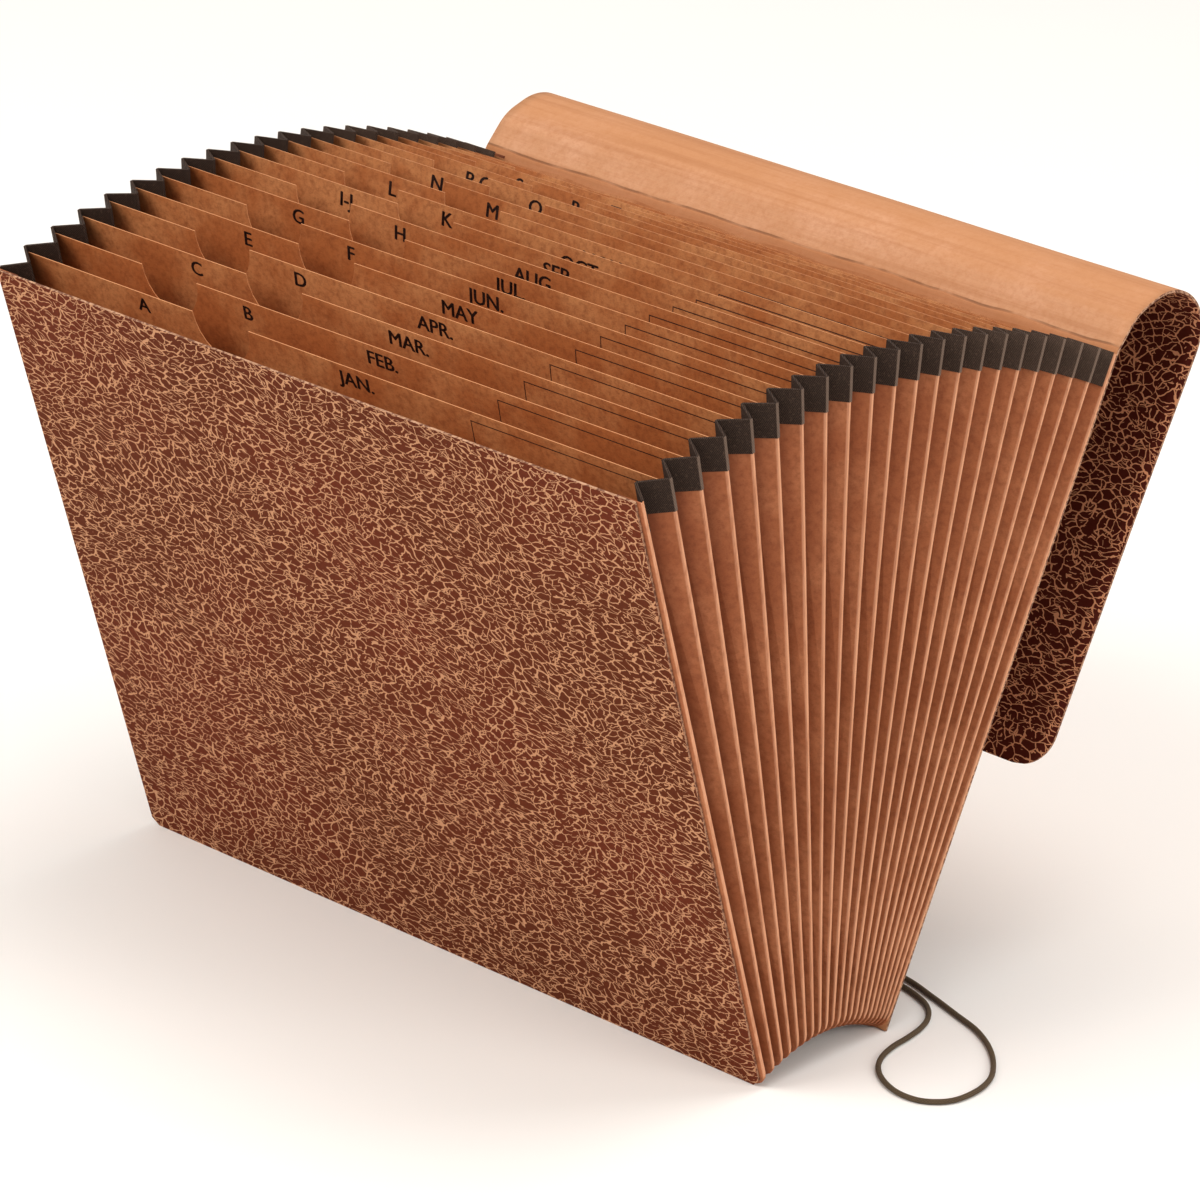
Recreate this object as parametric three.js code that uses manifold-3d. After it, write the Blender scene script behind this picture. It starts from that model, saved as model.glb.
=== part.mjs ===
// An expanding file that stands open as a fan: card covers, the back one running on as a flap that is
// rolled back over the top, a pleated kraft bellows round the sides and the bottom, twenty kraft leaves
// in its folds, cloth tape over its top edges and an elastic cord that lies on the floor.
// Millimetres, +Z up, +X to the right of the front cover, which faces -Y. The origin is on the floor,
// under the middle of the file.
import * as THREE from "three";
import { mergeVertices } from "three/addons/utils/BufferGeometryUtils.js";
import Module from "manifold-3d";

const wasm = await Module();
wasm.setup();

// Sizes of the whole file.
const fileWidth = 304.8;
const fileHeight = 254;
const dividerCount = 20;

// The fan: the panels' feet lie on a low arch, and each panel leans a little further back than the last.
const frontLean = THREE.MathUtils.degToRad(-19);
const backLean = THREE.MathUtils.degToRad(24.8);
const footSpan = 64;
const footCrowding = 0.45;
const archRise = 8;

// The bellows, one pleated kraft sheet.
const bellowsThickness = 0.3;
const pleatDepth = 11.1;
const foldLand = 0.7;
const flangeWidth = 10.5;
const bellowsCornerRadius = 7;
const innerCornerRadius = 1.5;
const cornerSteps = 4;
const lowestStraightHeight = 20;
const middleStraightHeight = 130;

// The covers and the flap.
const coverThickness = 1;
const glueGap = 0.06;
const footDrop = 0.35;
const frontInsetLeft = 0.8;
const frontInsetRight = 2.2;
const frontCornerClip = 3;
const creaseRise = 15;
const creaseLean = THREE.MathUtils.degToRad(42);
const rollFlat = 10;
const rollStartLean = THREE.MathUtils.degToRad(72);
const rollMiddleLean = THREE.MathUtils.degToRad(135);
const rollTopRadius = 24;
const rollRearRadius = 17.6;
const hangLean = THREE.MathUtils.degToRad(206.8);
const hangLength = 161.5;
const rollStep = THREE.MathUtils.degToRad(12);
const flapCornerRadius = 14;
const flapCornerSteps = 5;
const flapStartGap = 1;

// The leaves and the sheet that lines the back.
const leafThickness = 0.3;
const leafInset = 0.9;
const leafTopDrop = 2;
const notchWidth = 27.4;
const notchDepth = 16;
const oddNotchFromLeft = 97.5;
const evenNotchFromLeft = 58.8;
const linerTopDrop = 0.6;
const linerWave = 0.5;
const linerWaveLength = 38;

// The tape on the bellows' top edges.
const tapeHeight = 12.5;
const tapeThickness = 0.25;
const tapeClearance = 0.06;
const tapeEndGap = 0.5;

// The eyelet in the back cover and the elastic cord in it.
const eyeletHeight = 30;
const eyeletBore = 2.45;
const eyeletWall = 0.5;
const eyeletClearance = 0.3;
const eyeletFlangeRadius = 4.8;
const eyeletOuterFlange = 0.6;
const eyeletInnerFlange = 0.25;
const eyeletSides = 24;
const cordDiameter = 2;
const cordStrandGap = 0.3;
const cordStraightStart = 2.5;
const cordSteps = 80;
const cordSides = 8;

const lastPanel = dividerCount + 1;
const halfWidth = fileWidth / 2;

const material = (color, roughness, metalness = 0) =>
  new THREE.MeshStandardMaterial({ color, roughness, metalness });
const leatherette = material(0x6b3524, 0.5);
const kraft = material(0xa9683c, 0.85);
const palerKraft = material(0xc98f5e, 0.85);
const tapeCloth = material(0x2c221c, 0.95);
const eyeletMetal = material(0xb08d57, 0.35, 1);
const elastic = material(0x6d563c, 0.9);

// The fan's frame: panel k's foot on the arch, its lean, and a point at a height up the panel and a
// distance behind it. A half value of k is the middle of a pocket.
function leanOf(k) {
  return frontLean + ((backLean - frontLean) * k) / lastPanel;
}

function backwardsFrom(k) {
  return new THREE.Vector3(0, Math.cos(leanOf(k)), -Math.sin(leanOf(k)));
}

function onPanel(k, x, height, behind = 0) {
  const share = k / lastPanel;
  const along = share + footCrowding * share * (1 - share);
  const lean = leanOf(k);
  return new THREE.Vector3(
    x,
    footSpan * (along - 0.5) + height * Math.sin(lean),
    4 * archRise * along * (1 - along) + height * Math.cos(lean),
  ).addScaledVector(backwardsFrom(k), behind);
}

function pocketGap(k, height) {
  return onPanel(Math.floor(k), 0, height).distanceTo(onPanel(Math.ceil(k), 0, height));
}

// A closed solid from a grid of points and the triangles between them.
function geometryFrom(points, triangles) {
  const geometry = new THREE.BufferGeometry();
  geometry.setAttribute("position", new THREE.Float32BufferAttribute(points.flatMap((p) => p.toArray()), 3));
  geometry.setIndex(triangles.flat());
  geometry.computeVertexNormals();
  return geometry;
}

// For each point of a row of a folded sheet, the offset that keeps a layer at one distance from the
// sheet's middle on both sides of a fold.
function foldOffsets(grid, row) {
  const before = grid[Math.max(row - 1, 0)];
  const after = grid[Math.min(row + 1, grid.length - 1)];
  return grid[row].map((point, i, points) => {
    const alongRow = after[i].clone().sub(before[i]);
    const normals = [];
    if (i > 0) normals.push(alongRow.clone().cross(point.clone().sub(points[i - 1])).normalize());
    if (i < points.length - 1) {
      normals.push(alongRow.clone().cross(points[i + 1].clone().sub(point)).normalize());
    }
    if (normals.length === 1) return normals[0];
    const sum = normals[0].clone().add(normals[1]);
    return sum.divideScalar(1 + normals[0].dot(normals[1]));
  });
}

// A folded sheet as a closed solid: grid[row][column] is its middle, folded across the columns.
function foldedSheet(grid, thickness) {
  const rows = grid.length;
  const columns = grid[0].length;
  const points = [];
  for (const side of [1, -1]) {
    for (let row = 0; row < rows; row++) {
      foldOffsets(grid, row).forEach((offset, i) => {
        points.push(grid[row][i].clone().addScaledVector(offset, (side * thickness) / 2));
      });
    }
  }
  const at = (side, row, column) => side * rows * columns + row * columns + column;
  const triangles = [];
  const quad = (a, b, c, d) => triangles.push([a, b, c], [a, c, d]);
  for (let row = 0; row < rows - 1; row++) {
    for (let i = 0; i < columns - 1; i++) {
      quad(at(0, row, i), at(0, row + 1, i), at(0, row + 1, i + 1), at(0, row, i + 1));
      quad(at(1, row, i), at(1, row, i + 1), at(1, row + 1, i + 1), at(1, row + 1, i));
    }
  }
  const end = columns - 1;
  for (let row = 0; row < rows - 1; row++) {
    quad(at(0, row, 0), at(1, row, 0), at(1, row + 1, 0), at(0, row + 1, 0));
    quad(at(0, row, end), at(0, row + 1, end), at(1, row + 1, end), at(1, row, end));
  }
  for (let i = 0; i < columns - 1; i++) {
    quad(at(0, 0, i), at(0, 0, i + 1), at(1, 0, i + 1), at(1, 0, i));
    quad(at(0, rows - 1, i), at(1, rows - 1, i), at(1, rows - 1, i + 1), at(0, rows - 1, i + 1));
  }
  return geometryFrom(points, triangles);
}

// The bellows' folds, front to back: a glue flange, then each outer fold with the inner fold behind it,
// then the flange at the back. A fold is a narrow land, so it has two columns.
function foldColumns() {
  const columns = [{ k: 0, behind: -foldLand / 2, inset: () => flangeWidth }];
  for (let k = 0; k <= lastPanel; k++) {
    for (const side of [-1, 1]) {
      columns.push({ k, behind: (side * foldLand) / 2, inset: () => 0, outer: true });
    }
    if (k === lastPanel) break;
    for (const side of [-1, 1]) {
      const inset = (height) => Math.sqrt(pleatDepth ** 2 - (pocketGap(k + 0.5, height) / 2) ** 2);
      columns.push({ k: k + 0.5, behind: (side * foldLand) / 2, inset });
    }
  }
  columns.push({ k: lastPanel, behind: foldLand / 2, inset: () => flangeWidth });
  return columns;
}

// Stations along the bellows' edge: down the right side, round its corner, along the bottom and up again.
function edgeStations() {
  const straight = [fileHeight, fileHeight - tapeHeight, middleStraightHeight, lowestStraightHeight];
  const down = straight.map((height) => ({ side: 1, height }));
  for (let step = 0; step <= cornerSteps; step++) {
    down.push({ side: 1, turn: (step / cornerSteps) * (Math.PI / 2) });
  }
  return [...down, ...down.map((station) => ({ ...station, side: -1 })).reverse()];
}

function foldPoint(column, station) {
  const { side, height, turn } = station;
  if (turn === undefined) {
    return onPanel(column.k, side * (halfWidth - column.inset(height)), height, column.behind);
  }
  const inset = column.inset(pleatDepth);
  const radius = column.outer ? bellowsCornerRadius : innerCornerRadius;
  const x = halfWidth - inset - radius + radius * Math.cos(turn);
  const up = inset + radius - radius * Math.sin(turn);
  return onPanel(column.k, side * x, up, column.behind);
}

function bellowsGrid() {
  const columns = foldColumns();
  return edgeStations().map((station) => columns.map((column) => foldPoint(column, station)));
}

function makeBellows() {
  return foldedSheet(bellowsGrid(), bellowsThickness);
}

// The tape: a strip folded over the top edge of one side of the bellows, from the first pleat face to
// the last, as a section of eight points carried along the pleats.
function makeTape(side) {
  const columns = foldColumns().slice(2, -2);
  const heights = [fileHeight, fileHeight - tapeHeight];
  const grid = heights.map((height) => columns.map((column) => foldPoint(column, { side, height })));
  for (const row of grid) {
    const last = row.length - 1;
    row[0].addScaledVector(row[1].clone().sub(row[0]).normalize(), tapeEndGap);
    row[last].addScaledVector(row[last - 1].clone().sub(row[last]).normalize(), tapeEndGap);
  }
  const inner = bellowsThickness / 2 + tapeClearance;
  const outer = inner + tapeThickness;
  const section = [
    [outer, 1, 0],
    [outer, 0, tapeClearance + tapeThickness],
    [-outer, 0, tapeClearance + tapeThickness],
    [-outer, 1, 0],
    [-inner, 1, 0],
    [-inner, 0, tapeClearance],
    [inner, 0, tapeClearance],
    [inner, 1, 0],
  ];
  const offsets = grid.map((row, i) => foldOffsets(grid, i));
  const points = [];
  columns.forEach((column, i) => {
    const up = grid[0][i].clone().sub(grid[1][i]).normalize();
    for (const [out, row, rise] of section) {
      points.push(grid[row][i].clone().addScaledVector(offsets[row][i], out).addScaledVector(up, rise));
    }
  });
  const sides = section.length;
  const triangles = [];
  const quad = (a, b, c, d) => triangles.push([a, c, b], [a, d, c]);
  for (let i = 0; i < columns.length - 1; i++) {
    for (let j = 0; j < sides; j++) {
      const next = (j + 1) % sides;
      const corners = [i * sides + j, i * sides + next, (i + 1) * sides + next, (i + 1) * sides + j];
      if ((section[j][1] - section[next][1]) * side > 0) corners.push(corners.shift());
      quad(...corners);
    }
  }
  const end = (columns.length - 1) * sides;
  const capQuads = [[0, 7, 6, 1], [1, 6, 5, 2], [2, 5, 4, 3]];
  for (const [a, b, c, d] of capQuads) {
    quad(a, b, c, d);
    quad(end + a, end + d, end + c, end + b);
  }
  return geometryFrom(points, triangles);
}

// Lays a flat shape on panel k: its X runs along the file and its Y up the panel. front is how far the
// sheet's front face lies behind the panel's own plane.
function sheetOnPanel(name, shape, thickness, k, front, sheetMaterial) {
  const extrusion = { depth: thickness, bevelEnabled: false, curveSegments: 6 };
  const geometry = new THREE.ExtrudeGeometry(shape, extrusion);
  const mesh = new THREE.Mesh(geometry, sheetMaterial);
  mesh.name = name;
  mesh.rotation.x = Math.PI / 2 - leanOf(k);
  mesh.position.copy(onPanel(k, 0, 0, front + thickness));
  return mesh;
}

// How far up its panel a cover's foot starts, for its outer lower edge to be on the floor.
const coverOffset = foldLand / 2 + bellowsThickness / 2 + glueGap;

function coverFoot(k) {
  const lean = Math.abs(leanOf(k));
  return (Math.sin(lean) * (coverOffset + coverThickness) - footDrop) / Math.cos(lean);
}

function makeFrontCover() {
  const left = -halfWidth + frontInsetLeft;
  const right = halfWidth - frontInsetRight;
  const foot = coverFoot(0);
  const shape = new THREE.Shape();
  shape.moveTo(left + frontCornerClip, foot);
  shape.lineTo(right - frontCornerClip, foot);
  shape.lineTo(right, foot + frontCornerClip);
  shape.lineTo(right, fileHeight);
  shape.lineTo(left, fileHeight);
  shape.lineTo(left, foot + frontCornerClip);
  shape.closePath();
  return sheetOnPanel("front_cover", shape, coverThickness, 0, -coverOffset - coverThickness, leatherette);
}

// A leaf's outline up to its top corners, with the same round lower corners as the bellows.
function leafOutline(shape) {
  const half = halfWidth - leafInset;
  const radius = bellowsCornerRadius - leafInset;
  shape.moveTo(-half + radius, leafInset);
  shape.lineTo(half - radius, leafInset);
  shape.absarc(half - radius, leafInset + radius, radius, -Math.PI / 2, 0, false);
  return half;
}

function closeLeaf(shape, half) {
  const radius = bellowsCornerRadius - leafInset;
  shape.absarc(-half + radius, leafInset + radius, radius, Math.PI, 1.5 * Math.PI, false);
}

function makeDivider(k) {
  const shape = new THREE.Shape();
  const half = leafOutline(shape);
  const top = fileHeight - leafTopDrop;
  const middle = -halfWidth + (k % 2 ? oddNotchFromLeft : evenNotchFromLeft);
  shape.lineTo(half, top);
  shape.absellipse(middle, top, notchWidth / 2, notchDepth, 0, Math.PI, true);
  shape.lineTo(-half, top);
  closeLeaf(shape, half);
  const name = "divider_" + String(k).padStart(2, "0");
  return sheetOnPanel(name, shape, leafThickness, k, -leafThickness / 2, kraft);
}

function makeBackLiner() {
  const shape = new THREE.Shape();
  const half = leafOutline(shape);
  const top = fileHeight - linerTopDrop;
  const waves = Math.round((2 * half) / linerWaveLength) * 4;
  for (let i = 0; i <= waves; i++) {
    const wave = linerWave * Math.cos((i * Math.PI) / 2);
    shape.lineTo(half - (2 * half * i) / waves, top - linerWave + wave);
  }
  closeLeaf(shape, half);
  return sheetOnPanel("back_liner", shape, leafThickness, lastPanel, -leafThickness / 2, palerKraft);
}

// The back cover's middle line, seen from the right: up the back, past the crease, over the roll and
// down behind. Each point has the half width of the board there, less at the flap's round corners.
function backProfile() {
  const middle = coverOffset + coverThickness / 2;
  const point = onPanel(lastPanel, 0, coverFoot(lastPanel), middle);
  const profile = [{ point: point.clone(), half: halfWidth }];
  const advance = (lean, length, half = halfWidth) => {
    point.y += length * Math.sin(lean);
    point.z += length * Math.cos(lean);
    profile.push({ point: point.clone(), half });
  };
  const roll = (from, to, radius) => {
    const steps = Math.ceil((to - from) / rollStep);
    const turn = (to - from) / steps;
    for (let i = 0; i < steps; i++) advance(from + (i + 0.5) * turn, 2 * radius * Math.sin(turn / 2));
  };
  advance(backLean, fileHeight + flapStartGap - coverFoot(lastPanel));
  advance(creaseLean, creaseRise);
  advance(rollStartLean, rollFlat);
  roll(rollStartLean, rollMiddleLean, rollTopRadius);
  roll(rollMiddleLean, hangLean, rollRearRadius);
  advance(hangLean, hangLength - flapCornerRadius);
  for (let step = 1; step <= flapCornerSteps; step++) {
    const [last, next] = [step - 1, step].map((s) => (s / flapCornerSteps) * (Math.PI / 2));
    const half = halfWidth - flapCornerRadius * (1 - Math.cos(next));
    advance(hangLean, flapCornerRadius * (Math.sin(next) - Math.sin(last)), half);
  }
  return profile;
}

// Cuts one closed geometry from another.
function subtract(geometry, tool) {
  const solid = (source) => {
    const bare = source.clone();
    for (const name of Object.keys(bare.attributes)) {
      if (name !== "position") bare.deleteAttribute(name);
    }
    const merged = mergeVertices(bare);
    return new wasm.Manifold(
      new wasm.Mesh({
        numProp: 3,
        vertProperties: merged.attributes.position.array,
        triVerts: new Uint32Array(merged.index.array),
      }),
    );
  };
  const cut = solid(geometry).subtract(solid(tool)).getMesh();
  const result = new THREE.BufferGeometry();
  result.setAttribute("position", new THREE.BufferAttribute(cut.vertProperties, 3));
  result.setIndex(new THREE.BufferAttribute(cut.triVerts, 1));
  result.computeVertexNormals();
  return result;
}

function makeBackCover() {
  const profile = backProfile();
  const grid = [-1, 1].map((side) =>
    profile.map(({ point, half }) => new THREE.Vector3(side * half, point.y, point.z)),
  );
  const holeRadius = eyeletBore + eyeletWall + eyeletClearance;
  const hole = new THREE.CylinderGeometry(holeRadius, holeRadius, 2 * coverThickness, eyeletSides);
  hole.rotateX(-backLean);
  const place = onPanel(lastPanel, 0, eyeletHeight, coverOffset + coverThickness / 2);
  hole.translate(place.x, place.y, place.z);
  return subtract(foldedSheet(grid, coverThickness), hole);
}

// The eyelet: a barrel through the cover with a flange on each side, turned about its own Y axis.
function makeEyelet() {
  const barrel = eyeletBore + eyeletWall;
  const inside = -glueGap;
  const outside = coverThickness + glueGap;
  const profile = [
    [eyeletBore, inside - eyeletInnerFlange],
    [eyeletFlangeRadius, inside - eyeletInnerFlange],
    [eyeletFlangeRadius, inside],
    [barrel, inside],
    [barrel, outside],
    [eyeletFlangeRadius, outside],
    [eyeletFlangeRadius - eyeletOuterFlange / 2, outside + eyeletOuterFlange],
    [eyeletBore, outside + eyeletOuterFlange],
    [eyeletBore, inside - eyeletInnerFlange],
  ];
  return new THREE.LatheGeometry(profile.map(([r, y]) => new THREE.Vector2(r, y)), eyeletSides);
}

const file = new THREE.Group();

function addPiece(name, geometry, pieceMaterial) {
  const mesh = new THREE.Mesh(geometry, pieceMaterial);
  mesh.name = name;
  file.add(mesh);
  return mesh;
}

file.add(makeFrontCover());
addPiece("back_cover", makeBackCover(), leatherette);
file.add(makeBackLiner());
addPiece("bellows", makeBellows(), kraft);
for (let k = 1; k <= dividerCount; k++) file.add(makeDivider(k));
addPiece("edge_tape_right", makeTape(1), tapeCloth);
addPiece("edge_tape_left", makeTape(-1), tapeCloth);

const eyelet = addPiece("cord_eyelet", makeEyelet(), eyeletMetal);
eyelet.rotation.x = -backLean;
eyelet.position.copy(onPanel(lastPanel, 0, eyeletHeight, coverOffset));

// The file stands on the floor, with the origin under its middle.
const bounds = new THREE.Box3().setFromObject(file, true);
file.position.set(0, -(bounds.min.y + bounds.max.y) / 2, -bounds.min.z);

// The elastic: one length from the eyelet to the floor, round a loop beside the file and back.
const strandOffset = (cordDiameter + cordStrandGap) / 2;
const mouth = coverOffset + coverThickness + eyeletOuterFlange;
const fromEyelet = (x, behind) => onPanel(lastPanel, x, eyeletHeight, behind).add(file.position);
const laidRoute = [
  [7.5, 23, 12],
  [15, 29.5, 5],
  [30, 33, 1.6],
  [60, 34.6, 1.1],
  [100, 35, 1.1],
  [131, 33.6, 1.1],
  [147, 29, 1.1],
  [163, 23.6, 1.1],
  [175, 19.4, 1.1],
  [186.5, 12.2, 1.1],
  [196.5, 2.2, 1.1],
  [202.8, -8, 1.1],
  [205.2, -19.4, 1.1],
  [203.4, -31.2, 1.1],
  [196.5, -38.2, 1.1],
  [187.5, -39.4, 1.1],
  [178.3, -36.2, 1.1],
  [170.5, -30, 1.1],
  [165.6, -22.2, 1.1],
  [163, -12.8, 1.1],
  [162, -2.7, 1.1],
  [160.2, 6.8, 1.1],
  [156.8, 14.8, 1.1],
  [151, 21.3, 1.1],
  [143, 25.4, 1.1],
  [131, 28.4, 1.1],
  [100, 29.2, 1.1],
  [60, 28.8, 1.1],
  [30, 27.2, 1.6],
  [15, 24.5, 5],
  [7, 20, 12],
];
const cordPoints = [
  fromEyelet(strandOffset, coverOffset),
  fromEyelet(strandOffset, mouth),
  fromEyelet(strandOffset, mouth + cordStraightStart),
  ...laidRoute.map(([x, y, z]) => new THREE.Vector3(x, y, z)),
  fromEyelet(-strandOffset, mouth + cordStraightStart),
  fromEyelet(-strandOffset, mouth),
  fromEyelet(-strandOffset, coverOffset),
];
const cordSection = new THREE.Shape();
for (let i = 0; i < cordSides; i++) {
  const angle = (i / cordSides) * 2 * Math.PI;
  const corner = new THREE.Vector2(Math.cos(angle), Math.sin(angle)).multiplyScalar(cordDiameter / 2);
  if (i === 0) cordSection.moveTo(corner.x, corner.y);
  else cordSection.lineTo(corner.x, corner.y);
}
const cord = new THREE.Mesh(
  new THREE.ExtrudeGeometry(cordSection, {
    extrudePath: new THREE.CatmullRomCurve3(cordPoints),
    steps: cordSteps,
    bevelEnabled: false,
  }),
  elastic,
);
cord.name = "elastic_cord";

const expandingFile = new THREE.Group();
expandingFile.add(file, cord);

export default expandingFile;
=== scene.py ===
import math

import bmesh
import bpy
from mathutils import Matrix, Vector, noise


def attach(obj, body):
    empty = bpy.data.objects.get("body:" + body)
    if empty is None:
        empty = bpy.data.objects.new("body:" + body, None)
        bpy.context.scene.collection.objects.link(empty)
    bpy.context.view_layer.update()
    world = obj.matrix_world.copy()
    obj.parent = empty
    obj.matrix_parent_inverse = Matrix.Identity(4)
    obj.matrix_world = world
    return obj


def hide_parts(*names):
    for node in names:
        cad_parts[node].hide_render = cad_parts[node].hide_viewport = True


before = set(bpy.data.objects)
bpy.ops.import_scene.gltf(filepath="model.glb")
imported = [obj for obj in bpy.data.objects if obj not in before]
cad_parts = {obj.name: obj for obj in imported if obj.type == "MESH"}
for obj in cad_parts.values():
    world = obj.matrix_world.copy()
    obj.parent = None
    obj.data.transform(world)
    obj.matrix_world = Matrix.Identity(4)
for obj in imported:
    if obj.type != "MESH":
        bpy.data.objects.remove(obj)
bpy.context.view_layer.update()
scene = bpy.context.scene
scene.view_settings.view_transform = "Standard"

# Camera, floor and lights.
# The file stands on a white studio table in soft light from the upper left, with weaker lights from
# the right and from above.


def srgb(red, green, blue):
    """A colour written as 0 to 255 in sRGB, as Blender's linear colour."""
    linear = []
    for value in (red, green, blue):
        share = value / 255
        linear.append(share / 12.92 if share <= 0.04045 else ((share + 0.055) / 1.055) ** 2.4)
    return (*linear, 1)


def put_in_scene(name, data):
    """A new object in the scene that shows a mesh, light, camera or text."""
    made = bpy.data.objects.new(name, data)
    scene.collection.objects.link(made)
    return made


def add(tree, kind, inputs=None, **settings):
    """A shader node, with the values or links of its inputs by name or number."""
    made = tree.nodes.new("ShaderNode" + kind)
    for name, value in settings.items():
        setattr(made, name, value)
    for name, value in (inputs or {}).items():
        if isinstance(value, bpy.types.NodeSocket):
            tree.links.new(value, made.inputs[name])
        else:
            made.inputs[name].default_value = value
    return made


def look_along(obj, place, forward, up):
    """Places a camera or light so that it looks along forward."""
    back = -Vector(forward).normalized()
    right = Vector(up).cross(back).normalized()
    turned = Matrix((right, back.cross(right), back)).transposed().to_4x4()
    obj.matrix_world = Matrix.Translation(place) @ turned


CAMERA_PLACE = (1.3216, -1.5228, 0.9406)
CAMERA_FORWARD = (-0.60552913, 0.70057442, -0.3775314)
CAMERA_UP = (-0.28280507, 0.25399938, 0.92493546)
camera = put_in_scene("camera", bpy.data.cameras.new("camera"))
camera.data.lens = 179.53
camera.data.sensor_width = 36
camera.data.clip_end = 50
look_along(camera, CAMERA_PLACE, CAMERA_FORWARD, CAMERA_UP)
scene.camera = camera

FLOOR_HALF = 6
floor_corners = [
    (-FLOOR_HALF, -FLOOR_HALF, 0),
    (FLOOR_HALF, -FLOOR_HALF, 0),
    (FLOOR_HALF, FLOOR_HALF, 0),
    (-FLOOR_HALF, FLOOR_HALF, 0),
]
floor_mesh = bpy.data.meshes.new("floor")
floor_mesh.from_pydata(floor_corners, [], [(0, 1, 2, 3)])
floor = put_in_scene("floor", floor_mesh)
floor_material = bpy.data.materials.new("white_table")
floor_material.use_nodes = True
floor_shader = floor_material.node_tree.nodes["Principled BSDF"]
floor_shader.inputs["Base Color"].default_value = srgb(252, 252, 252)
floor_shader.inputs["Roughness"].default_value = 0.9
floor_mesh.materials.append(floor_material)

world = bpy.data.worlds.new("studio")
scene.world = world
world.use_nodes = True
world_tree = world.node_tree
world_tree.nodes.clear()
seen_by_camera = add(world_tree, "LightPath")
ambient = add(world_tree, "Background", {"Color": srgb(255, 250, 244), "Strength": 0.55})
backdrop = add(world_tree, "Background", {"Color": (1, 1, 1, 1), "Strength": 1})
world_mix = add(
    world_tree,
    "MixShader",
    {0: seen_by_camera.outputs["Is Camera Ray"], 1: ambient.outputs[0], 2: backdrop.outputs[0]},
)
add(world_tree, "OutputWorld", {"Surface": world_mix.outputs[0]})


def area_light(name, place, target, size, watts, colour):
    """A square soft light that points at a target."""
    data = bpy.data.lights.new(name, "AREA")
    data.size = size
    data.energy = watts
    data.color = colour[:3]
    light = put_in_scene(name, data)
    look_along(light, place, Vector(target) - Vector(place), (0, 0, 1))


area_light("key_light", (-0.9, -1.9, 2.1), (0, 0, 0.1), 1.5, 46, srgb(255, 250, 242))
area_light("side_light", (2.3, 0.1, 1.3), (0, 0, 0.12), 1.2, 19, srgb(255, 246, 236))
area_light("top_light", (0.3, 0.5, 2.4), (0, 0, 0.2), 1.4, 24, srgb(255, 250, 244))

# The fan that all the pieces follow.
# Panel 0 is the front cover's, 21 the back cover's, and each panel stands a little further back on a
# low arch and leans a little further back than the one before.

FILE_WIDTH = 0.3048
FILE_HEIGHT = 0.254
LAST_PANEL = 21
FRONT_LEAN = math.radians(-19)
BACK_LEAN = math.radians(24.8)
FOOT_SPAN = 0.064
FOOT_CROWDING = 0.45
ARCH_RISE = 0.008
FAN_MIDDLE = 0.036661
FAN_RISE = 0.00035


def lean_of(k):
    """How far panel k leans back from upright."""
    return FRONT_LEAN + (BACK_LEAN - FRONT_LEAN) * k / LAST_PANEL


def on_panel(k, x, height, behind=0.0):
    """A point at a height up panel k and a distance behind it."""
    share = k / LAST_PANEL
    along = share + FOOT_CROWDING * share * (1 - share)
    lean = lean_of(k)
    return Vector(
        (
            x,
            FOOT_SPAN * (along - 0.5) + height * math.sin(lean) + behind * math.cos(lean) - FAN_MIDDLE,
            4 * ARCH_RISE * along * (1 - along)
            + height * math.cos(lean)
            - behind * math.sin(lean)
            + FAN_RISE,
        )
    )


# Elastic cord.
# A round braided elastic, about 2 mm thick, that loops round the closed file. It comes out of the
# eyelet in the back cover, lies on the table in a loose loop beside the file and goes back in.


def new_material(name, roughness=0.8, **shader_values):
    """A material, its node tree and its shader."""
    made = bpy.data.materials.new(name)
    made.use_nodes = True
    shader = made.node_tree.nodes["Principled BSDF"]
    shader.inputs["Roughness"].default_value = roughness
    for socket, value in shader_values.items():
        shader.inputs[socket.replace("_", " ")].default_value = value
    return made, made.node_tree, shader


def maths(tree, operation, first, second=0.0):
    """The result of one sum on two values."""
    return add(tree, "Math", {0: first, 1: second}, operation=operation).outputs[0]


def ranged(tree, value, low, high, to_low=0.0, to_high=1.0):
    """Maps a value smoothly from low..high to to_low..to_high."""
    inputs = {"Value": value, "From Min": low, "From Max": high, "To Min": to_low, "To Max": to_high}
    return add(tree, "MapRange", inputs, interpolation_type="SMOOTHSTEP").outputs[0]


def mixed(tree, factor, first, second):
    """The first colour where the factor is 0 and the second where it is 1."""
    return add(tree, "Mix", {0: factor, 6: first, 7: second}, data_type="RGBA").outputs[2]


def spots(tree, place, scale, detail=2.0, roughness=0.5):
    """Soft noise from 0 to 1 at a number of spots a metre."""
    inputs = {"Vector": place, "Scale": scale, "Detail": detail, "Roughness": roughness}
    return add(tree, "TexNoise", inputs).outputs[0]


def scaled(tree, place, scale, turn=(0, 0, 0)):
    """A place turned and stretched, for a pattern that is finer one way than the other."""
    return add(tree, "Mapping", {"Vector": place, "Scale": scale, "Rotation": turn}).outputs[0]


def bump(tree, shader, height, distance, strength=1.0):
    """Raises the surface by up to a distance where the height is 1."""
    inputs = {"Height": height, "Distance": distance, "Strength": strength}
    tree.links.new(add(tree, "Bump", inputs).outputs[0], shader.inputs["Normal"])


def colour_from(tree, shader, colour):
    """Gives the shader its colour."""
    tree.links.new(colour, shader.inputs["Base Color"])


def coordinate(tree, kind="Object"):
    """Where a point of the surface is, in metres on the object or on its texture map."""
    return add(tree, "TexCoord").outputs[kind]


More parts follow.
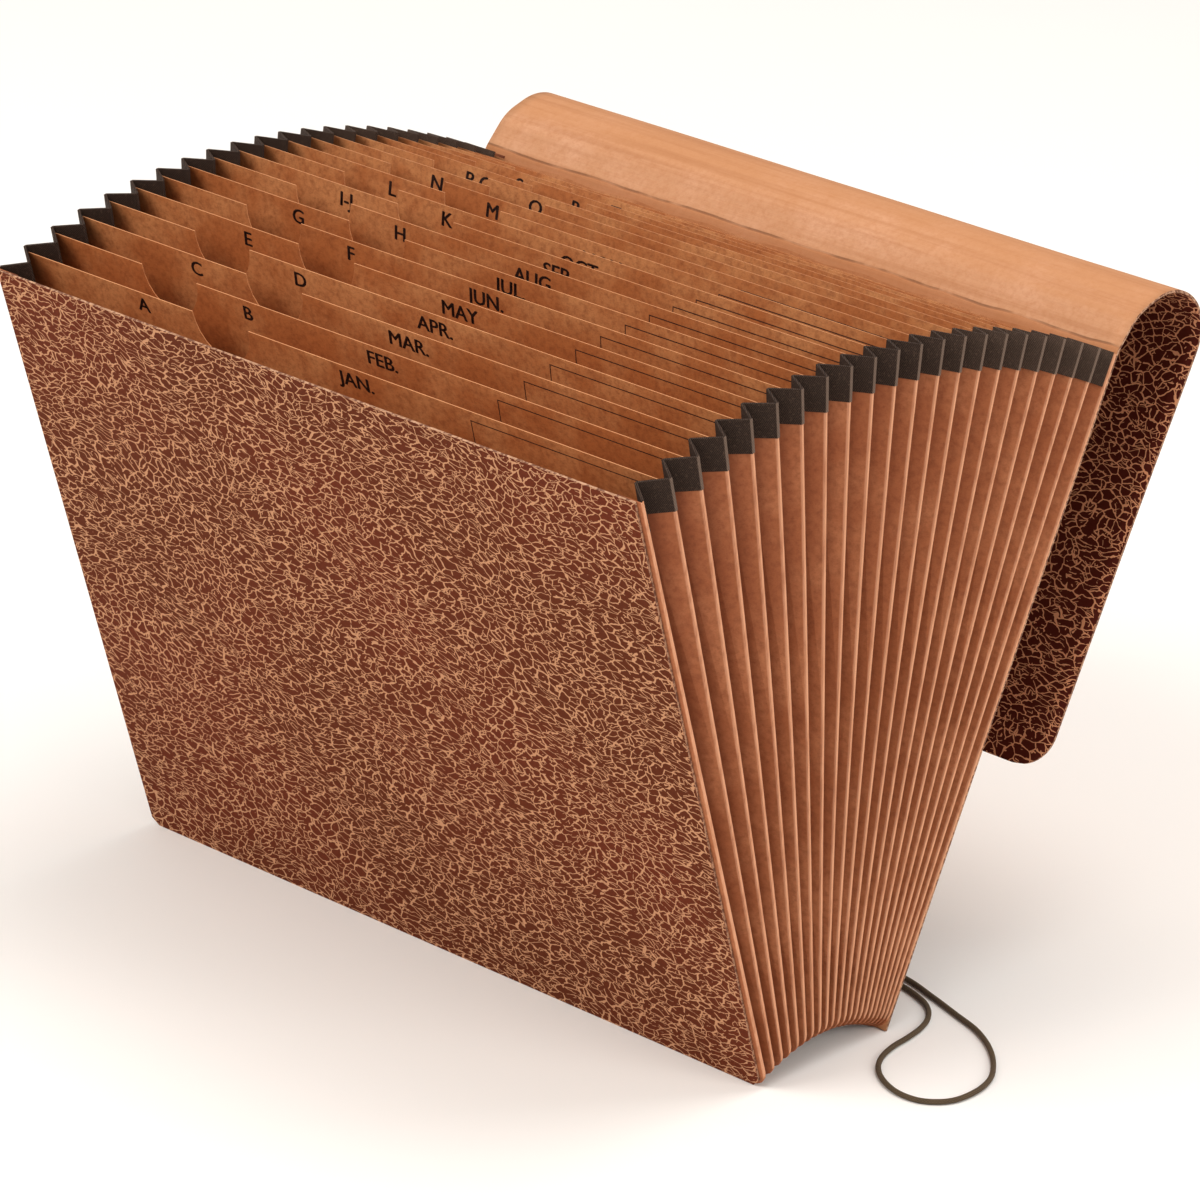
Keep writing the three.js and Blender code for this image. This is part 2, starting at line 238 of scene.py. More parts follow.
CORD_DIAMETER = 0.002
STRAND_OFFSET = 0.00115
EYELET_HEIGHT = 0.030
EYELET_DISTANCES = (0.00056, 0.00216, 0.00466)
LYING_HEIGHT = 0.0011
down_to_table = [(0.0075, 0.023, 0.012), (0.015, 0.0295, 0.005), (0.030, 0.033, 0.0016)]
on_table = [
    (0.060, 0.0346),
    (0.100, 0.035),
    (0.131, 0.0336),
    (0.147, 0.029),
    (0.163, 0.0236),
    (0.175, 0.0194),
    (0.1865, 0.0122),
    (0.1965, 0.0022),
    (0.2028, -0.008),
    (0.2052, -0.0194),
    (0.2034, -0.0312),
    (0.1965, -0.0382),
    (0.1875, -0.0394),
    (0.1783, -0.0362),
    (0.1705, -0.030),
    (0.1656, -0.0222),
    (0.163, -0.0128),
    (0.162, -0.0027),
    (0.1602, 0.0068),
    (0.1568, 0.0148),
    (0.151, 0.0213),
    (0.143, 0.0254),
    (0.131, 0.0284),
    (0.100, 0.0292),
    (0.060, 0.0288),
]
up_to_eyelet = [(0.030, 0.0272, 0.0016), (0.015, 0.0245, 0.005), (0.007, 0.020, 0.012)]
in_eyelet = [on_panel(LAST_PANEL, 0, EYELET_HEIGHT, behind) for behind in EYELET_DISTANCES]
cord_route = [
    *((STRAND_OFFSET, *point.yz) for point in in_eyelet),
    *down_to_table,
    *((x, y, LYING_HEIGHT) for x, y in on_table),
    *up_to_eyelet,
    *((-STRAND_OFFSET, *point.yz) for point in reversed(in_eyelet)),
]


def smooth_route(points, step):
    """Points about a step apart on the smooth curve that passes through the given ones."""
    given = [Vector(p) for p in points]
    given = [2 * given[0] - given[1], *given, 2 * given[-1] - given[-2]]
    route = []
    for a, b, c, d in zip(given, given[1:], given[2:], given[3:]):
        times = [0.0]
        for start, end in ((a, b), (b, c), (c, d)):
            times.append(times[-1] + math.sqrt((end - start).length))
        at_a, at_b, at_c, at_d = times
        count = max(1, round((c - b).length / step))
        for i in range(count):
            now = at_b + (at_c - at_b) * i / count
            ab = a.lerp(b, (now - at_a) / (at_b - at_a))
            bc = b.lerp(c, (now - at_b) / (at_c - at_b))
            cd = c.lerp(d, (now - at_c) / (at_d - at_c))
            abc = ab.lerp(bc, (now - at_a) / (at_c - at_a))
            bcd = bc.lerp(cd, (now - at_b) / (at_d - at_b))
            route.append(abc.lerp(bcd, (now - at_b) / (at_c - at_b)))
    route.append(given[-2])
    return route


def mesh_piece(name, vertices, faces, uvs=None, material_numbers=None, smooth=True):
    """A mesh object that rides on the file's one body; uvs has one pair per vertex."""
    mesh = bpy.data.meshes.new(name)
    mesh.from_pydata(vertices, [], faces)
    if uvs:
        layer = mesh.uv_layers.new(name="UVMap")
        for loop in mesh.loops:
            layer.data[loop.index].uv = uvs[loop.vertex_index]
    if material_numbers:
        for polygon, number in zip(mesh.polygons, material_numbers):
            polygon.material_index = number
    for polygon in mesh.polygons:
        polygon.use_smooth = smooth
    mesh.update()
    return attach(put_in_scene(name, mesh), "root")


def tube(name, route, radius, sides):
    """A round tube along a route, with its turn and its length as texture coordinates."""
    vertices, uvs, faces = [], [], []
    normal = Vector((0, 0, 1))
    length = 0.0
    for i, point in enumerate(route):
        ahead = route[min(i + 1, len(route) - 1)] - route[max(i - 1, 0)]
        ahead.normalize()
        normal = (normal - ahead * normal.dot(ahead)).normalized()
        across = ahead.cross(normal)
        if i:
            length += (point - route[i - 1]).length
        for j in range(sides + 1):
            angle = 2 * math.pi * j / sides
            vertices.append(point + radius * (math.cos(angle) * normal + math.sin(angle) * across))
            uvs.append((j / sides, length))
    ring = sides + 1
    for i in range(len(route) - 1):
        for j in range(sides):
            faces.append((i * ring + j, (i + 1) * ring + j, (i + 1) * ring + j + 1, i * ring + j + 1))
    faces.append(tuple(range(sides)))
    faces.append(tuple((len(route) - 1) * ring + j for j in reversed(range(sides))))
    return mesh_piece(name, vertices, faces, uvs), length


CORD_STEP = 0.0015
CORD_SIDES = 12
cord_line = smooth_route(cord_route, CORD_STEP)
cord, cord_length = tube("braided_elastic", cord_line, CORD_DIAMETER / 2, CORD_SIDES)
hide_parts("elastic_cord")
print("cord length", round(cord_length, 4))

STRANDS_ROUND = 6
STRANDS_ALONG = 900
braid, tree, shader = new_material("braided_elastic", roughness=0.85)
place = coordinate(tree, "UV")
strands = []
for turn in (1, -1):
    slanted = scaled(tree, place, (STRANDS_ROUND, turn * STRANDS_ALONG, 1))
    split = add(tree, "SeparateXYZ", {0: slanted})
    along = maths(tree, "ADD", split.outputs[0], split.outputs[1])
    strands.append(maths(tree, "PINGPONG", along, 0.5))
threads = maths(tree, "MULTIPLY", maths(tree, "MULTIPLY", strands[0], strands[1]), 4)
worn = spots(tree, coordinate(tree), 160, 3)
colour = mixed(tree, threads, srgb(60, 46, 31), srgb(124, 102, 74))
colour = mixed(tree, ranged(tree, worn, 0.35, 0.7, 0.0, 0.35), colour, srgb(92, 74, 50))
colour_from(tree, shader, colour)
bump(tree, shader, threads, 0.0002)
cord.data.materials.append(braid)

# Front cover.
# A stiff card, 1 mm thick, glued to the front flange of the bellows. It is faced with printed
# leather-grain paper outside and kraft paper inside, and its cut edges show the lighter card.


def leatherette(name, ground, vein, redder):
    """Paper printed with leather grain: a net of pale veins on a brown ground, drawn out this way and
    that, with large cells in some places and small ones between them."""
    made, tree, shader = new_material(name, roughness=0.7, Specular_IOR_Level=0.06)
    place = coordinate(tree, "UV")
    moved = place
    wide_bends, bends, tremble = (26, 0.014), (170, 0.0036), (600, 0.0011)
    for scale, amount in (wide_bends, bends, tremble):
        field = add(tree, "TexNoise", {"Vector": place, "Scale": scale, "Detail": 0.5}).outputs[1]
        centred = add(tree, "VectorMath", {0: field, 1: (0.5, 0.5, 0.5)}, operation="SUBTRACT")
        step = add(tree, "VectorMath", {0: centred.outputs[0], "Scale": amount}, operation="SCALE")
        moved = add(tree, "VectorMath", {0: moved, 1: step.outputs[0]}).outputs[0]

    def veins(angle, stretch, scale, half_width, breaks):
        """A net of cells drawn out along an angle, with lines uneven in width and broken in places."""
        slanted = scaled(tree, moved, (1 / stretch, stretch, 1), (0, 0, math.radians(angle)))
        inputs = {"Vector": slanted, "Scale": scale}
        edge = add(tree, "TexVoronoi", inputs, voronoi_dimensions="2D", feature="DISTANCE_TO_EDGE")
        width = ranged(tree, spots(tree, moved, 150, 1), 0.3, 0.7, 0.7 * half_width, 1.25 * half_width)
        drawn = ranged(tree, edge.outputs[0], 0, width, 1, 0)
        kept = ranged(tree, spots(tree, place, 260, 1), breaks, breaks + 0.05)
        return maths(tree, "MULTIPLY", drawn, kept)

    def either(first, second, scale, low):
        """The first net in some patches and the second in the others."""
        chosen = ranged(tree, spots(tree, place, scale, 1), low, low + 0.01)
        return add(tree, "Mix", {0: chosen, 2: first, 3: second}).outputs[0]

    coarse = either(veins(30, 1.5, 262, 0.11, 0.32), veins(-62, 1.22, 272, 0.11, 0.3), 19, 0.5)
    small = either(veins(24, 1.6, 430, 0.12, 0.53), veins(-50, 1.2, 400, 0.12, 0.54), 23, 0.48)
    net = ranged(tree, maths(tree, "MAXIMUM", coarse, small), 0.24, 0.5)
    cloud = spots(tree, place, 9, 3)
    grain = spots(tree, place, 900, 2)
    base = mixed(tree, ranged(tree, cloud, 0.35, 0.65), ground, redder)
    base = mixed(tree, ranged(tree, grain, 0.3, 0.7, 0, 0.35), base, srgb(74, 33, 22))
    colour_from(tree, shader, mixed(tree, net, base, vein))
    bump(tree, shader, net, 0.00012, 0.7)
    return made


def cut_card():
    """The cut edge of a card: pale brown fibres in layers."""
    made, tree, shader = new_material("cut_card", roughness=0.95)
    place = coordinate(tree)
    layers = spots(tree, scaled(tree, place, (300, 3000, 3000)), 1, 3)
    specks = spots(tree, place, 700, 3)
    colour = mixed(tree, ranged(tree, layers, 0.3, 0.7), srgb(206, 162, 130), srgb(150, 108, 82))
    colour = mixed(tree, ranged(tree, specks, 0.46, 0.56, 0, 0.85), colour, srgb(96, 52, 36))
    colour_from(tree, shader, colour)
    bump(tree, shader, specks, 0.0002)
    return made


def kraft(name, ground, darker, paler):
    """Kraft paper: clouds of darker and paler pulp, and fine fibres. Returns the colour to go on with."""
    made, tree, shader = new_material(name, roughness=0.72, Specular_IOR_Level=0.3)
    place = coordinate(tree)
    cloud = spots(tree, place, 38, 4, 0.6)
    mottle = spots(tree, place, 420, 3, 0.65)
    fibres = spots(tree, scaled(tree, place, (900, 1900, 1900), (0, 0, 0.2)), 1, 3, 0.6)
    own = add(tree, "ObjectInfo").outputs["Random"]
    tone = maths(tree, "ADD", cloud, maths(tree, "MULTIPLY", own, 0.12))
    colour = mixed(tree, ranged(tree, tone, 0.38, 0.7), paler, ground)
    colour = mixed(tree, ranged(tree, mottle, 0.34, 0.84, 0, 0.62), colour, darker)
    colour = mixed(tree, ranged(tree, fibres, 0.45, 0.85, 0, 0.4), colour, darker)
    height = maths(tree, "ADD", maths(tree, "MULTIPLY", mottle, 0.6), fibres)
    bump(tree, shader, height, 0.00006, 0.8)
    return made, tree, shader, colour


COVER_THICKNESS = 0.001
COVER_OFFSET = 0.00056
front_leather = leatherette("front_leatherette", srgb(94, 43, 21), srgb(194, 142, 106), srgb(104, 44, 24))
card_edge = cut_card()
front_inside, tree, shader, colour = kraft(
    "front_inside", srgb(170, 104, 62), srgb(134, 72, 38), srgb(196, 134, 90)
)
colour_from(tree, shader, colour)


def cover_foot(k):
    """How far up its panel a cover's foot starts, for its outer lower edge to be on the floor."""
    lean = abs(lean_of(k))
    return (math.sin(lean) * (COVER_OFFSET + COVER_THICKNESS) - FAN_RISE) / math.cos(lean)


LEATHER_FACE, CUT_FACE, INNER_FACE = range(3)


def board(name, outline, k, front, thickness, bevel):
    """A flat board on panel k with rounded edges; its outline is (x, height) pairs."""
    made = bmesh.new()
    layer = made.loops.layers.uv.new("UVMap")
    corners = [made.verts.new((x, height, 0)) for x, height in outline]
    face = made.faces.new(corners)
    around = bmesh.ops.extrude_face_region(made, geom=[face])
    raised = [v for v in around["geom"] if isinstance(v, bmesh.types.BMVert)]
    bmesh.ops.translate(made, verts=raised, vec=(0, 0, thickness))
    edges = list(made.edges)
    bmesh.ops.bevel(made, geom=edges, offset=bevel, segments=2, affect="EDGES", profile=0.6)
    bmesh.ops.recalc_face_normals(made, faces=made.faces)
    for polygon in made.faces:
        polygon.smooth = False
        polygon.material_index = CUT_FACE
        if polygon.normal.z > 0.9:
            polygon.material_index = LEATHER_FACE
        if polygon.normal.z < -0.9:
            polygon.material_index = INNER_FACE
        for loop in polygon.loops:
            loop[layer].uv = (loop.vert.co.x, loop.vert.co.y)
    for vertex in made.verts:
        vertex.co = on_panel(k, vertex.co.x, vertex.co.y, front + thickness - vertex.co.z)
    bmesh.ops.recalc_face_normals(made, faces=made.faces)
    mesh = bpy.data.meshes.new(name)
    made.to_mesh(mesh)
    made.free()
    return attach(put_in_scene(name, mesh), "root")


FRONT_LEFT = -FILE_WIDTH / 2 + 0.0008
FRONT_RIGHT = FILE_WIDTH / 2 - 0.0022
FRONT_FOOT = cover_foot(0)
FRONT_CLIP = 0.003
FRONT_FACE = -COVER_OFFSET - COVER_THICKNESS
EDGE_ROUNDING = 0.0002
front_outline = [
    (FRONT_LEFT + FRONT_CLIP, FRONT_FOOT),
    (FRONT_RIGHT - FRONT_CLIP, FRONT_FOOT),
    (FRONT_RIGHT, FRONT_FOOT + FRONT_CLIP),
    (FRONT_RIGHT, FILE_HEIGHT),
    (FRONT_LEFT, FILE_HEIGHT),
    (FRONT_LEFT, FRONT_FOOT + FRONT_CLIP),
]
front_board = board("front_board", front_outline, 0, FRONT_FACE, COVER_THICKNESS, EDGE_ROUNDING)
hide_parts("front_cover")
for material in (front_leather, card_edge, front_inside):
    front_board.data.materials.append(material)

# Back cover and flap.
# One card of the same board. It goes on past the crease at the top as the flap, which is rolled back
# over the top and hangs down behind. Its outside is leather grain and its inside is plain kraft.

back_leather = leatherette("back_leatherette", srgb(80, 28, 18), srgb(206, 142, 104), srgb(70, 21, 13))


def off(tree, value, middle):
    """How far a value is from a middle, either way."""
    return maths(tree, "ABSOLUTE", maths(tree, "SUBTRACT", value, middle))


WRINKLE_LENGTH = 0.2574
WORN_LENGTH = 0.3005
lining, tree, shader, colour = kraft(
    "flap_lining", srgb(200, 146, 108), srgb(182, 122, 82), srgb(210, 158, 124)
)
place = coordinate(tree, "UV")
streaks = spots(tree, scaled(tree, place, (6, 260, 1)), 1, 4, 0.6)
bands = spots(tree, scaled(tree, place, (4, 75, 1)), 1, 2, 0.5)
wander = spots(tree, scaled(tree, place, (26, 5, 1)), 1, 3, 0.5)
split = add(tree, "SeparateXYZ", {0: place})
along = maths(tree, "ADD", split.outputs[1], maths(tree, "MULTIPLY", wander, 0.003))
rolled = maths(tree, "ADD", bands, ranged(tree, along, 0.262, 0.286, -0.22, 0.2))
colour = mixed(tree, ranged(tree, rolled, 0.36, 0.7, 0, 0.6), colour, srgb(186, 128, 84))
hanging = ranged(tree, along, 0.3, 0.34, 1, 0.3)
shown = maths(tree, "MULTIPLY", ranged(tree, streaks, 0.42, 0.72, 0, 0.42), hanging)
colour = mixed(tree, shown, colour, srgb(164, 106, 66))
worn_strip = ranged(tree, off(tree, along, WORN_LENGTH), 0.0015, 0.004, 0.6, 0)
colour = mixed(tree, worn_strip, colour, srgb(142, 112, 86))
below = ranged(tree, along, WRINKLE_LENGTH - 0.0003, WRINKLE_LENGTH + 0.0002, 1, 0)
colour = mixed(tree, maths(tree, "MULTIPLY", below, 0.6), colour, srgb(176, 110, 64))
# The wrinkle is a groove in the bump, and its dark line in the colour is painted shade in that groove.
wrinkle = ranged(tree, off(tree, along, WRINKLE_LENGTH), 0.0001, 0.0007, 1, 0)
faded = ranged(tree, spots(tree, scaled(tree, place, (60, 1, 1)), 1, 2), 0.35, 0.6, 0.15, 1)
wrinkle = maths(tree, "MULTIPLY", wrinkle, faded)
colour = mixed(tree, maths(tree, "MULTIPLY", wrinkle, 0.6), colour, srgb(112, 66, 38))
colour_from(tree, shader, colour)
height = maths(tree, "SUBTRACT", streaks, maths(tree, "MULTIPLY", wrinkle, 1.5))
bump(tree, shader, height, 0.0004, 0.5)

CREASE_LENGTH = FILE_HEIGHT + 0.001 - cover_foot(LAST_PANEL)
CREASE_HALF = 0.0015
CREASE_LEAN = math.radians(42)
CREASE_RISE = 0.015
ROLL_START_HALF = 0.005
ROLL_START_LEAN = math.radians(72)
ROLL_FLAT = 0.010
ROLL_TOP_RADIUS = 0.024
ROLL_MIDDLE_LEAN = math.radians(135)
ROLL_REAR_RADIUS = 0.0176
HANG_LEAN = math.radians(206.8)
HANG_LENGTH = 0.1615
FLAP_CORNER = 0.014


def board_leans():
    """The lean of the back board along its length, as (length, lean) pairs with straight runs between."""
    along = CREASE_LENGTH
    leans = [(0, BACK_LEAN), (along - CREASE_HALF, BACK_LEAN), (along + CREASE_HALF, CREASE_LEAN)]
    along += CREASE_RISE
    leans += [(along - ROLL_START_HALF, CREASE_LEAN), (along + ROLL_START_HALF, ROLL_START_LEAN)]
    along += ROLL_FLAT
    leans.append((along, ROLL_START_LEAN))
    along += ROLL_TOP_RADIUS * (ROLL_MIDDLE_LEAN - ROLL_START_LEAN)
    leans.append((along, ROLL_MIDDLE_LEAN))
    along += ROLL_REAR_RADIUS * (HANG_LEAN - ROLL_MIDDLE_LEAN)
    leans.append((along, HANG_LEAN))
    leans.append((along + HANG_LENGTH, HANG_LEAN))
    return leans


WALK_STEP = 0.0005
CLOSE_ROWS = 0.001
WIDE_ROWS = 0.006


def board_line():
    """The board's middle line as (y, z, lean, length, half width), closest where it bends."""
    leans = board_leans()
    point = on_panel(LAST_PANEL, 0, cover_foot(LAST_PANEL), COVER_OFFSET + COVER_THICKNESS / 2)
    y, z = point.y, point.z
    whole = leans[-1][0]
    corner_start = whole - FLAP_CORNER
    count = round(whole / WALK_STEP)
    stretch = whole / count
    line = []
    kept = -1.0
    for i in range(count + 1):
        at = i * stretch
        for (low, first), (high, last) in zip(leans, leans[1:]):
            if low <= at <= high + 1e-9:
                lean = first + (last - first) * (at - low) / (high - low)
                break
        bending = leans[1][0] - 0.004 < at < leans[-2][0] + 0.004
        space = CLOSE_ROWS if bending or at > corner_start else WIDE_ROWS
        if at - kept >= space or i in (0, count):
            reach = max(0.0, at - corner_start)
            half = FILE_WIDTH / 2 - FLAP_CORNER + math.sqrt(max(0.0, FLAP_CORNER**2 - reach**2))
            line.append((y, z, lean, at, half))
            kept = at
        y += stretch * math.sin(lean)
        z += stretch * math.cos(lean)
    return line


def two_sided_sheet(name, line, columns, thickness, sway):
    """A sheet along a line seen from the side. Its outer, inner and cut faces take materials 0, 1, 2."""
    vertices, uvs, faces, numbers = [], [], [], []
    for side in (1, -1):
        for y, z, lean, along, half in line:
            for i in range(columns + 1):
                x = half * (2 * i / columns - 1)
                out = side * thickness / 2 + sway(x, along)
                vertices.append((x, y + out * math.cos(lean), z - out * math.sin(lean)))
                uvs.append((x, along))
    rows = len(line)
    ring = columns + 1

    def at(side, row, column):
        return (side * rows + row) * ring + column

    last_row = rows - 1
    for row in range(last_row):
        for i in range(columns):
            faces.append((at(0, row, i), at(0, row + 1, i), at(0, row + 1, i + 1), at(0, row, i + 1)))
            numbers.append(0)
            faces.append((at(1, row, i), at(1, row, i + 1), at(1, row + 1, i + 1), at(1, row + 1, i)))
            numbers.append(1)
    for row in range(last_row):
        end = columns
        faces.append((at(0, row, 0), at(1, row, 0), at(1, row + 1, 0), at(0, row + 1, 0)))
        faces.append((at(0, row, end), at(0, row + 1, end), at(1, row + 1, end), at(1, row, end)))
        numbers += [2, 2]
    for i in range(columns):
        row = last_row
        faces.append((at(0, 0, i), at(0, 0, i + 1), at(1, 0, i + 1), at(1, 0, i)))
        faces.append((at(0, row, i), at(1, row, i), at(1, row, i + 1), at(0, row, i + 1)))
        numbers += [2, 2]
    return mesh_piece(name, vertices, faces, uvs, numbers)


SWAY_START = 0.262
SWAY_FADE = 0.02
SWAY = 0.0005


def flap_sway(x, along):
    """The flap isn't quite flat: slow waves that fade out where the board is glued to the bellows."""
    share = min(1.0, max(0.0, (along - SWAY_START) / SWAY_FADE))
    slow = noise.noise(Vector((x * 9, along * 16, 3.1)))
    return share * SWAY * slow


BOARD_COLUMNS = 56
back_board = two_sided_sheet("back_board", board_line(), BOARD_COLUMNS, COVER_THICKNESS, flap_sway)
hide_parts("back_cover")
for material in (back_leather, lining, card_edge):
    back_board.data.materials.append(material)

# Back liner.
# A kraft sheet glued inside the back cover, which closes the last pocket. Its top edge ends in
# wrinkles just under the crease.


def dress(node, material):
    """Gives one of the CAD's own solids its only material."""
    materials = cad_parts[node].data.materials
    materials.clear()
    materials.append(material)


liner_paper, tree, shader, colour = kraft(
    "liner_paper", srgb(178, 112, 68), srgb(158, 92, 52), srgb(200, 138, 94)
)
colour_from(tree, shader, colour)
dress("back_liner", liner_paper)

# Bellows.
# One pleated kraft sheet round the sides and the bottom. A painted highlight, uneven along its length,
# runs along its outer folds, and painted shade darkens the paper down in the pleats.

pleated, tree, shader, colour = kraft(
    "pleated_kraft", srgb(168, 98, 60), srgb(124, 64, 36), srgb(188, 120, 80)
)
place = coordinate(tree)
split = add(tree, "SeparateXYZ", {0: place})
aside = maths(tree, "ABSOLUTE", split.outputs[0])
highlight_breaks = spots(tree, scaled(tree, place, (900, 900, 60)), 1, 2)
# Painted shade: the paper is darkened towards the inner folds, down in the pleats.
painted_pleat_shade = ranged(tree, aside, 0.1405, 0.1515, 1, 0)
# Painted highlight: a thin pale line along each outer fold, broken up by noise.
painted_fold_highlight = ranged(tree, aside, 0.1517, 0.1523)
colour = mixed(tree, maths(tree, "MULTIPLY", painted_pleat_shade, 0.9), colour, srgb(92, 38, 19))
painted_fold_highlight = maths(tree, "MULTIPLY", painted_fold_highlight, ranged(tree, highlight_breaks, 0.3, 0.6, 0.5, 0.9))
colour = mixed(tree, painted_fold_highlight, colour, srgb(216, 156, 120))
colour_from(tree, shader, colour)
dress("bellows", pleated)

# Leaves.
# Twenty kraft cards, one glued into each outer fold of the bellows, with a thumb notch in the top edge,
# to the right on odd leaves and to the left on even ones. Their cut edges are paler card, and a painted
# highlight lightens a rim along every edge and the upward-facing top edges.

leaf_paper, tree, shader, colour = kraft(
    "leaf_kraft", srgb(182, 108, 58), srgb(126, 62, 28), srgb(206, 140, 88)
)
# A paler rim along every edge and on the upward-facing top edges: partly the lighter cut card and worn
# fibres, partly a painted highlight.
EDGE_WEAR_AND_HIGHLIGHT_RADIUS = 0.0003
soft_normal = add(tree, "Bevel", {"Radius": EDGE_WEAR_AND_HIGHLIGHT_RADIUS}, samples=4).outputs[0]
true_normal = add(tree, "NewGeometry").outputs["True Normal"]
agreement = add(tree, "VectorMath", {0: soft_normal, 1: true_normal}, operation="DOT_PRODUCT")
edge = ranged(tree, agreement.outputs["Value"], 0.8, 0.999, 1, 0)
normal = add(tree, "SeparateXYZ", {0: true_normal})
top = ranged(tree, normal.outputs[2], 0.72, 0.8)
edge = maths(tree, "MAXIMUM", edge, top)
colour = mixed(tree, maths(tree, "MULTIPLY", edge, 0.6), colour, srgb(222, 160, 116))
colour_from(tree, shader, colour)
for k in range(1, LAST_PANEL):
    dress("divider_%02d" % k, leaf_paper)

# Print on the leaves.
# Dark brown ink on the front of each leaf and of the liner: the index letter, beside the notch, the
# month in the middle on the first twelve, and the outline of a box for a label on the right.

ink, tree, shader = new_material("brown_ink", roughness=0.55)
wear = spots(tree, coordinate(tree), 1600, 2)
colour = mixed(tree, ranged(tree, wear, 0.45, 0.75, 0, 0.6), srgb(44, 20, 16), srgb(84, 44, 28))
colour_from(tree, shader, colour)

LETTERS = "A B C D E F G H I-J K L M N O P-Q R S T U-V W X-Y-Z".split()
MONTHS = "JAN. FEB. MAR. APR. MAY JUN. JUL. AUG. SEP. OCT. NOV. DEC.".split()
LETTER_HEIGHT = 0.0056
LETTER_WIDENING = 1.1
CAPITAL_SHARE = 0.729
ODD_LETTER_X = 0.0585
EVEN_LETTER_X = 0.097
MONTH_X = 0.1615
PRINT_DROP = 0.0048
BOX_LEFT = 0.215
BOX_RIGHT = 0.291
BOX_DROP = 0.0036
BOX_END = 0.022
BOX_LINE = 0.0004
MONTH_SLIPS = (0, 0, 0, 0, 0, 0, 0, 0.0003, 0.0009, 0.0013, 0.0019, 0.0025)
BOLD_STEPS = [(-0.00025, 0), (-0.0001, 0.0001), (0.0001, -0.0001), (0.00025, 0)]
INK_RISE = 0.00003
LEAF_THICKNESS = 0.0003
LEAF_TOP = 0.252


def word_outline(text):
    """A word as flat triangles centred on the origin, from Blender's own font."""
    curve = bpy.data.curves.new(text, "FONT")
    curve.body = text
    curve.resolution_u = 3
    shown = put_in_scene("word", curve)
    shaped = shown.evaluated_get(bpy.context.evaluated_depsgraph_get())
    mesh = bpy.data.meshes.new_from_object(shaped)
    bpy.data.objects.remove(shown)
    wides = [v.co.x for v in mesh.vertices]
    size = LETTER_HEIGHT / CAPITAL_SHARE
    middle_x = (min(wides) + max(wides)) / 2
    points = []
    for v in mesh.vertices:
        x = (v.co.x - middle_x) * size * LETTER_WIDENING
        points.append((x, v.co.y * size - LETTER_HEIGHT / 2))
    faces = [tuple(p.vertices) for p in mesh.polygons]
    bpy.data.meshes.remove(mesh)
    return points, faces


def words(text, x, y):
    """A word printed bold: the same outline a few times, each a hair aside."""
    outline = word_outline(text)
    return [(outline, x + aside, y + rise) for aside, rise in BOLD_STEPS]


def strip(x0, y0, x1, y1):
    """A ruled line as one rectangle."""
    return [(x0, y0), (x1, y0), (x1, y1), (x0, y1)], [(0, 1, 2, 3)]


def label_box(x0, x1, top, bottom, line):
    """The outline of a box in four ruled lines."""
    return [
        strip(x0, top - line, x1, top),
        strip(x0, bottom, x1, bottom + line),
        strip(x0, bottom + line, x0 + line, top - line),
        strip(x1 - line, bottom + line, x1, top - line),
    ]


def print_on(k):
    """All the print of one leaf as one thin mesh just in front of it."""
    height = LEAF_TOP - PRINT_DROP
    parts = words(LETTERS[k - 1], ODD_LETTER_X if k % 2 else EVEN_LETTER_X, height)
    if k <= len(MONTHS):
        parts += words(MONTHS[k - 1], MONTH_X, height - MONTH_SLIPS[k - 1])
    box = label_box(BOX_LEFT, BOX_RIGHT, LEAF_TOP - BOX_DROP, LEAF_TOP - BOX_END, BOX_LINE)
    parts += [(line, 0, 0) for line in box]
    behind = -LEAF_THICKNESS / 2 - INK_RISE
    vertices, faces = [], []
    for (points, polygons), x, y in parts:
        first = len(vertices)
        vertices += [on_panel(k, x + a - FILE_WIDTH / 2, y + b, behind) for a, b in points]
        faces += [tuple(first + i for i in polygon) for polygon in polygons]
    printed = mesh_piece("print_%02d" % k, vertices, faces, smooth=False)
    printed.data.materials.append(ink)


for k in range(1, LAST_PANEL + 1):
    print_on(k)

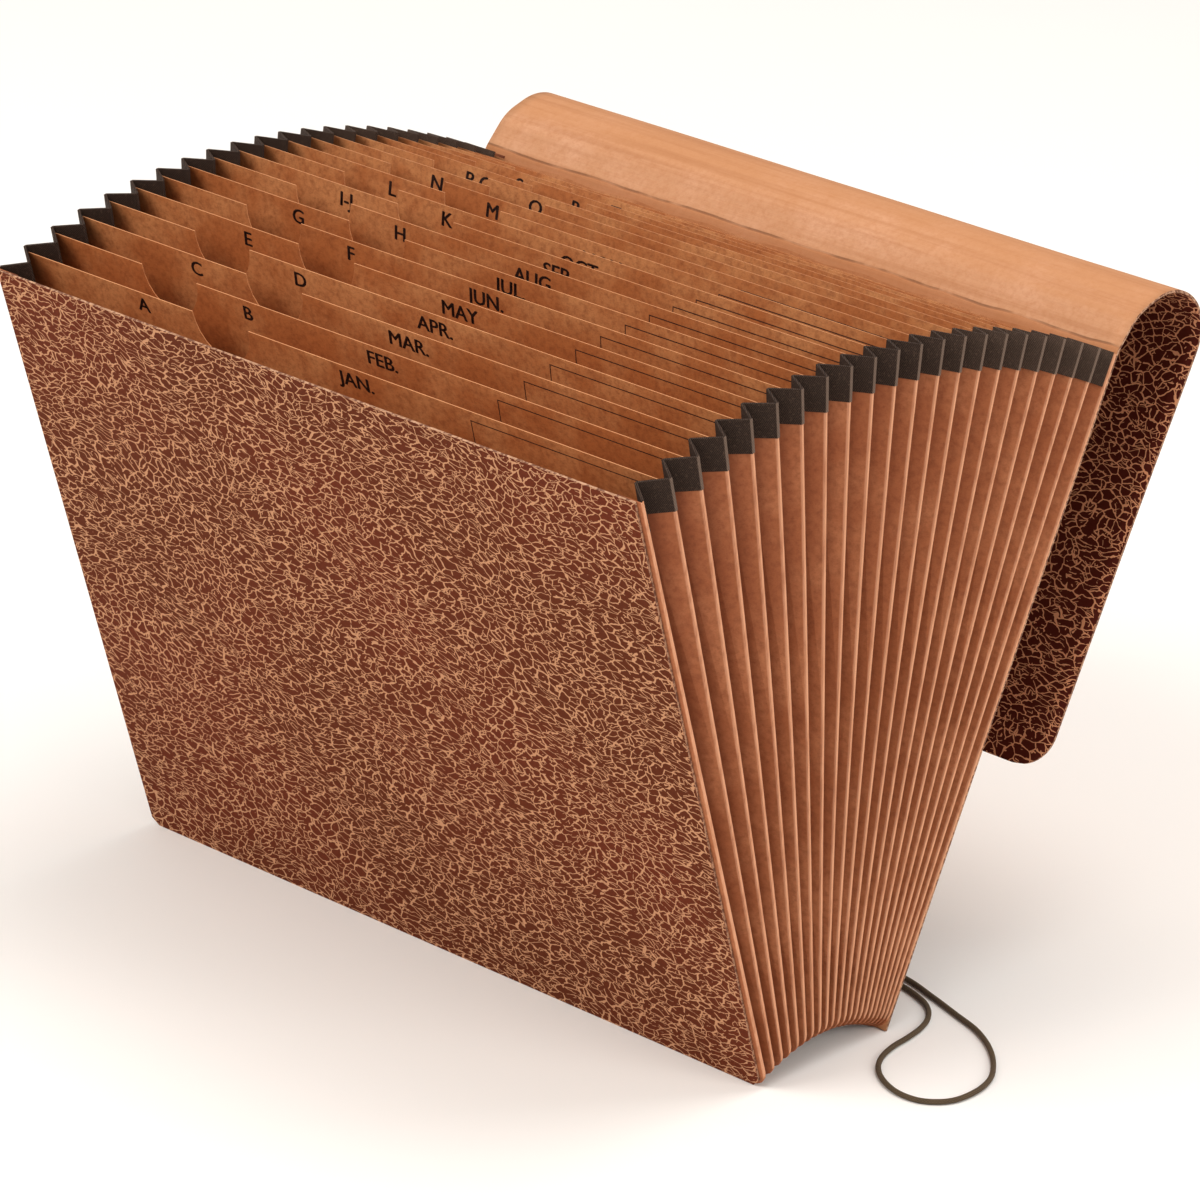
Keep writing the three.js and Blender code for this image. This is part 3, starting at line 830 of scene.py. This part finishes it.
# Edge tapes.
# A strip of dark woven tape folded over the top edge of the pleats on each side, to keep it from
# tearing. It is twilled, and a painted highlight runs along its folds.

RIBS_PER_METRE = 1050
twill, tree, shader = new_material("twill_tape", roughness=0.9, Specular_IOR_Level=0.2)
place = coordinate(tree)
split = add(tree, "SeparateXYZ", {0: place})
run = maths(tree, "ADD", split.outputs[0], split.outputs[1])
slant = maths(tree, "MULTIPLY", maths(tree, "ADD", run, split.outputs[2]), RIBS_PER_METRE)
rib = maths(tree, "MULTIPLY", maths(tree, "PINGPONG", slant, 0.5), 2)
fuzz = spots(tree, place, 1500, 2)
dust = spots(tree, place, 60, 3)
colour = mixed(tree, rib, srgb(10, 5, 4), srgb(74, 57, 48))
colour = mixed(tree, ranged(tree, fuzz, 0.5, 0.8, 0, 0.6), colour, srgb(98, 78, 66))
rear = ranged(tree, split.outputs[1], -0.02, 0.06, 0, 0.35)
colour = mixed(tree, maths(tree, "MULTIPLY", dust, rear), colour, srgb(122, 100, 86))
aside = maths(tree, "ABSOLUTE", split.outputs[0])
# Painted highlight along the tape's outer folds.
painted_fold_highlight = ranged(tree, aside, 0.15262, 0.15284, 0, 0.45)
colour = mixed(tree, painted_fold_highlight, colour, srgb(142, 120, 106))
colour_from(tree, shader, colour)
bump(tree, shader, maths(tree, "ADD", rib, fuzz), 0.00015)
dress("edge_tape_right", twill)
dress("edge_tape_left", twill)

# Eyelet.
# A brass eyelet pressed through the back cover, low in the middle. Both ends of the elastic cord go
# into it and are held there.

brass, tree, shader = new_material("brushed_brass", roughness=0.32, Metallic=1.0)
place = coordinate(tree)
scratches = spots(tree, place, 900, 3)
tarnish = spots(tree, place, 260, 3)
colour = mixed(tree, ranged(tree, tarnish, 0.4, 0.7), srgb(206, 170, 104), srgb(158, 118, 66))
colour_from(tree, shader, colour)
tree.links.new(ranged(tree, scratches, 0.3, 0.7, 0.24, 0.48), shader.inputs["Roughness"])
bump(tree, shader, scratches, 0.00003)
dress("cord_eyelet", brass)
